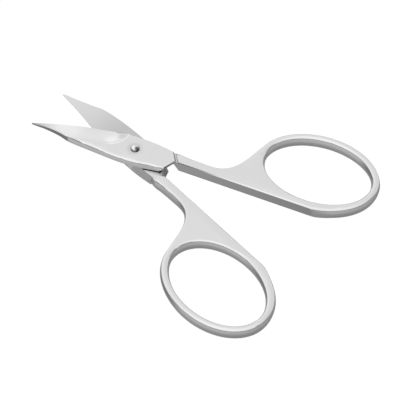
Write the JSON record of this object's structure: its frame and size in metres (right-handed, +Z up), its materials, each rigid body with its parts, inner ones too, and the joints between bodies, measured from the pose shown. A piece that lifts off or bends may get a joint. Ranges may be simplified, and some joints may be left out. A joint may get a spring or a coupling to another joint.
{
  "type": "nail scissors",
  "caption": "Small all-steel nail scissors with short curved blades, a riveted joint and wide oval finger rings.",
  "frame": {"origin": "on the rivet's axis, in the flat underside of the joint, level with the underside of the shanks and rings", "axes": "+X from the rivet towards the finger rings along the line that halves the opening, +Y towards the ring of the upper half, +Z up out of the rivet's domed head"},
  "size_m": [0.0863, 0.067, 0.0057],
  "materials": {
    "satin_steel": "satin brushed, edges brighter",
    "satin_steel_lower": "satin brushed, edges brighter",
    "polished_steel": "polished"
  },
  "bodies": {
    "lower": {"lower_half": "satin_steel_lower", "pivot_rivet": "polished_steel"},
    "upper": {"upper_half": "satin_steel"}
  },
  "joints": [
    {"name": "blade_pivot", "type": "hinge", "parent": "lower", "child": "upper", "pos_m": [0, 0, 0], "axis": [0, 0, 1], "range_deg": [-24.9, 95]}
  ]
}
